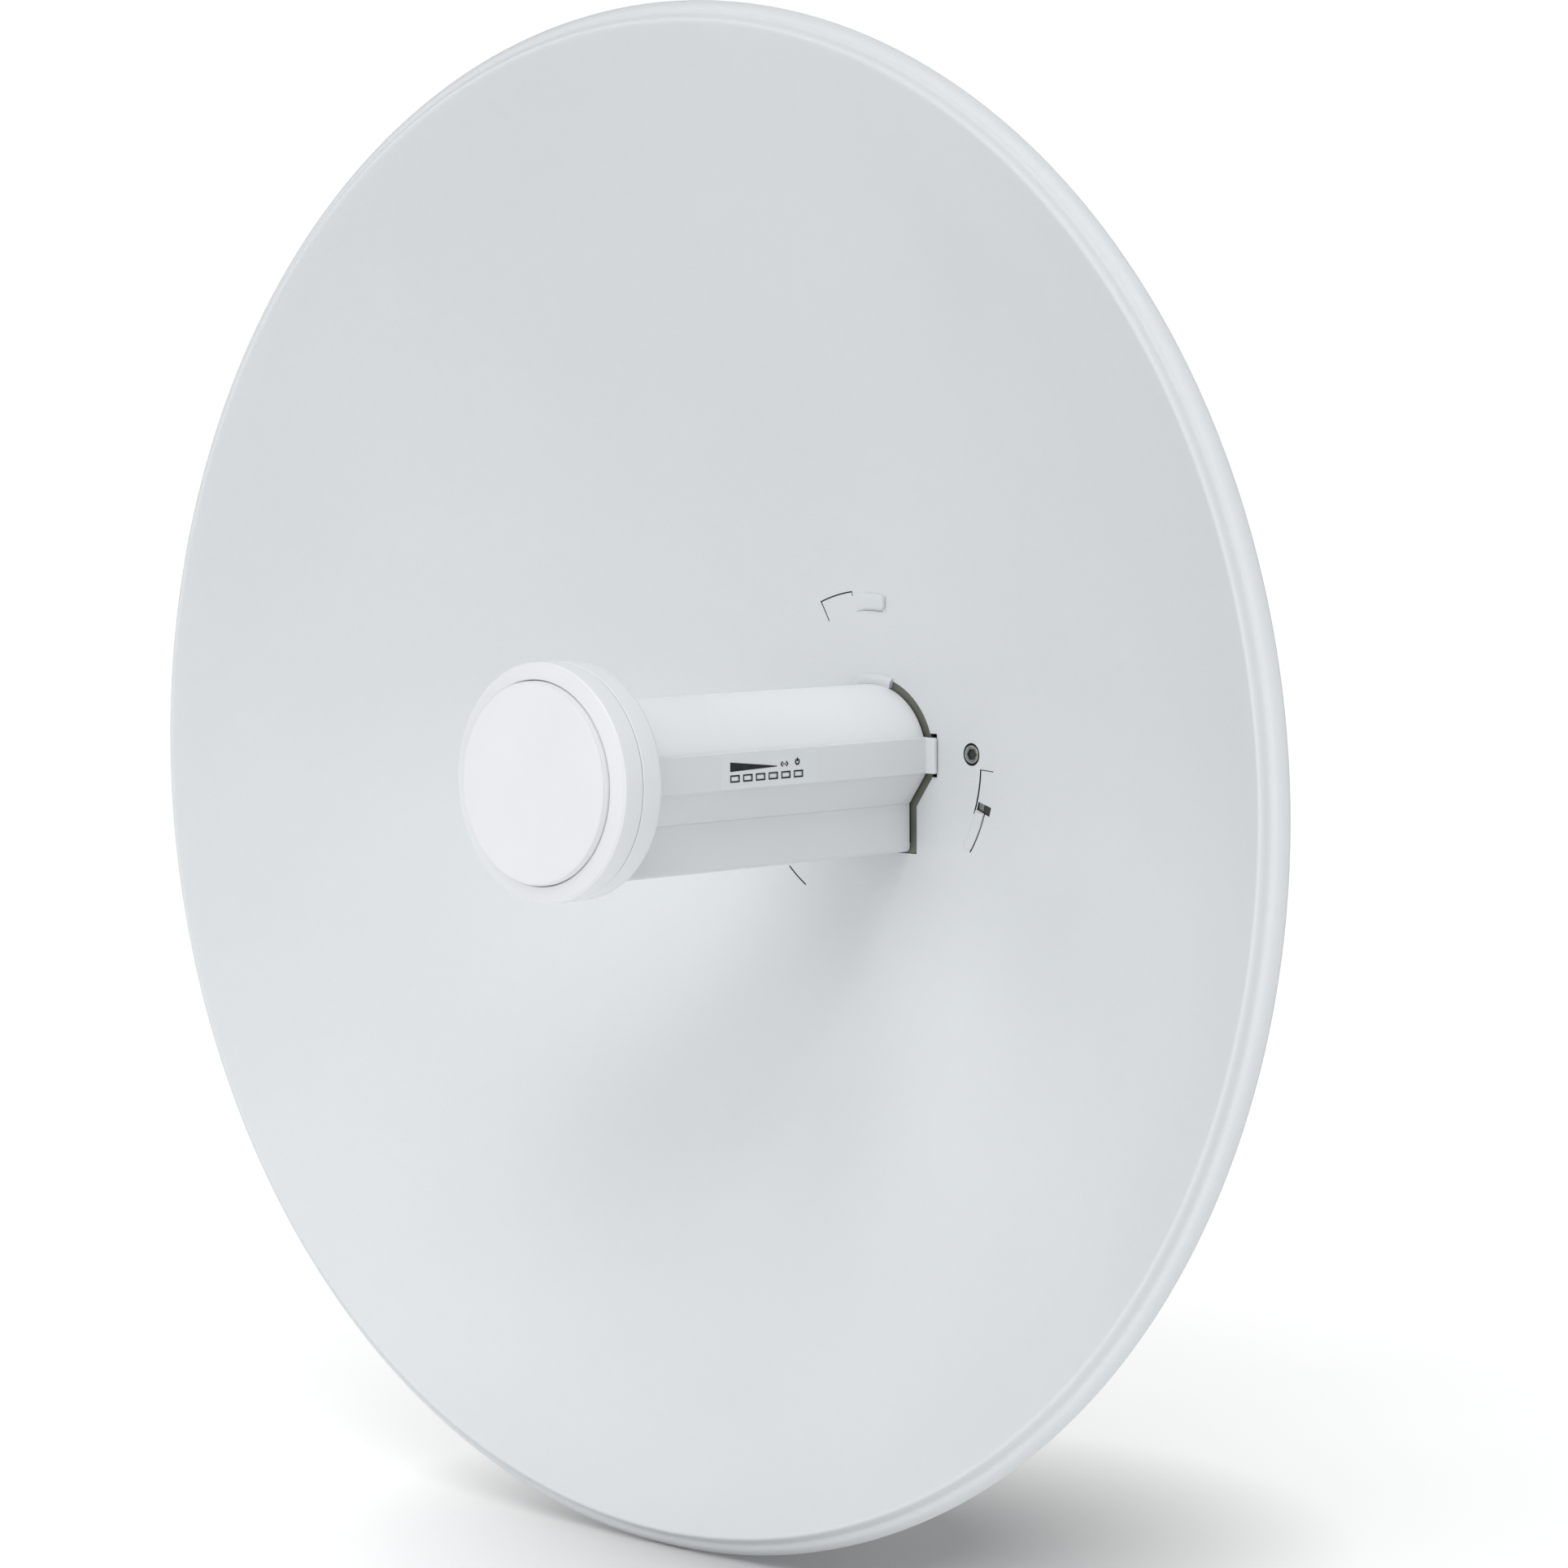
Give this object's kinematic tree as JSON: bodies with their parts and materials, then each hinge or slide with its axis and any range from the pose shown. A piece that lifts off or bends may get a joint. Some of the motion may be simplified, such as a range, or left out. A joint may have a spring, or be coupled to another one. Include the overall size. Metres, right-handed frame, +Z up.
{
  "type": "outdoor wireless bridge",
  "caption": "White spun dish reflector with a central plug-in radio feed, rear housing, tilting steel bracket and toothed clamp for a vertical pole.",
  "frame": {"origin": "on the axis of the pole, level with the middle of the pole bracket", "axes": "+Z up along the pole, the dish looks along -Y, +X to the right seen from in front of the dish"},
  "size_m": [0.52, 0.3496, 0.52],
  "materials": {
    "powder_coat": "satin",
    "radome_plastic": "satin",
    "housing_plastic": "satin",
    "dark_plastic": "matte",
    "galvanised_steel": "satin",
    "bolt_steel": "satin",
    "sheet_aluminium": "satin",
    "circuit_board": "satin",
    "light_pipe": "gloss",
    "seal_rubber": "matte"
  },
  "bodies": {
    "pole_mount": {"pole_bracket": "galvanised_steel", "carriage_bolt_left": "bolt_steel", "carriage_bolt_right": "bolt_steel"},
    "clamp": {"clamp_jaw": "galvanised_steel", "clamp_washer_left": "bolt_steel", "clamp_washer_right": "bolt_steel", "clamp_nut_left": "bolt_steel", "clamp_nut_right": "bolt_steel"},
    "dish_head": {"tilt_bracket": "galvanised_steel", "pivot_bolt": "bolt_steel", "pivot_nut": "bolt_steel", "lock_bolt": "bolt_steel", "lock_nut": "bolt_steel", "bracket_screw_1": "bolt_steel", "bracket_screw_2": "bolt_steel", "bracket_screw_3": "bolt_steel", "bracket_screw_4": "bolt_steel", "rear_housing": "housing_plastic", "reflector": "powder_coat", "reflector_screw": "bolt_steel"},
    "feed": {"feed_cap": "radome_plastic", "radome_front": "radome_plastic", "radome_rear": "radome_plastic", "head_seal": "seal_rubber", "subreflector": "sheet_aluminium", "radiator_board": "circuit_board", "rf_pigtail_left": "sheet_aluminium", "rf_pigtail_right": "sheet_aluminium", "tube_upper_shell": "radome_plastic", "tube_lower_shell": "radome_plastic", "shell_screw_1": "bolt_steel", "shell_screw_2": "bolt_steel", "led_rail": "radome_plastic", "led_light_pipe": "light_pipe", "main_board": "circuit_board", "radio_shield": "sheet_aluminium", "processor_shield": "sheet_aluminium", "heat_spreader": "sheet_aluminium", "ethernet_transformer": "dark_plastic", "rj45_jack": "sheet_aluminium", "feed_spigot": "dark_plastic"},
    "release_key": {"release_button": "dark_plastic"},
    "port_flap": {"port_door": "housing_plastic"},
    "reset_key": {"reset_button": "dark_plastic"}
  },
  "joints": [
    {"name": "clamp_slide", "type": "slide", "parent": "pole_mount", "child": "clamp", "axis": [0, 1, 0], "range_m": [-0.0139, 0.0116]},
    {"name": "elevation", "type": "hinge", "parent": "pole_mount", "child": "dish_head", "pos_m": [0, -0.058, 0.012], "axis": [-1, 0, 0], "range_deg": [-20, 20]},
    {"name": "feed_slide", "type": "slide", "parent": "dish_head", "child": "feed", "axis": [0, -1, 0], "range_m": [0, 0.045]},
    {"name": "release_press", "type": "slide", "parent": "dish_head", "child": "release_key", "axis": [0, 0, -1], "range_m": [0, 0.0025], "stiffness_N_per_m": 400, "springref_m": -0.002},
    {"name": "port_hinge", "type": "hinge", "parent": "dish_head", "child": "port_flap", "pos_m": [0, -0.0968, -0.0609], "axis": [1, 0, 0], "range_deg": [0, 95]},
    {"name": "reset_press", "type": "slide", "parent": "feed", "child": "reset_key", "axis": [0, 0, 1], "range_m": [0, 0.001], "stiffness_N_per_m": 300, "springref_m": -0.0008}
  ]
}
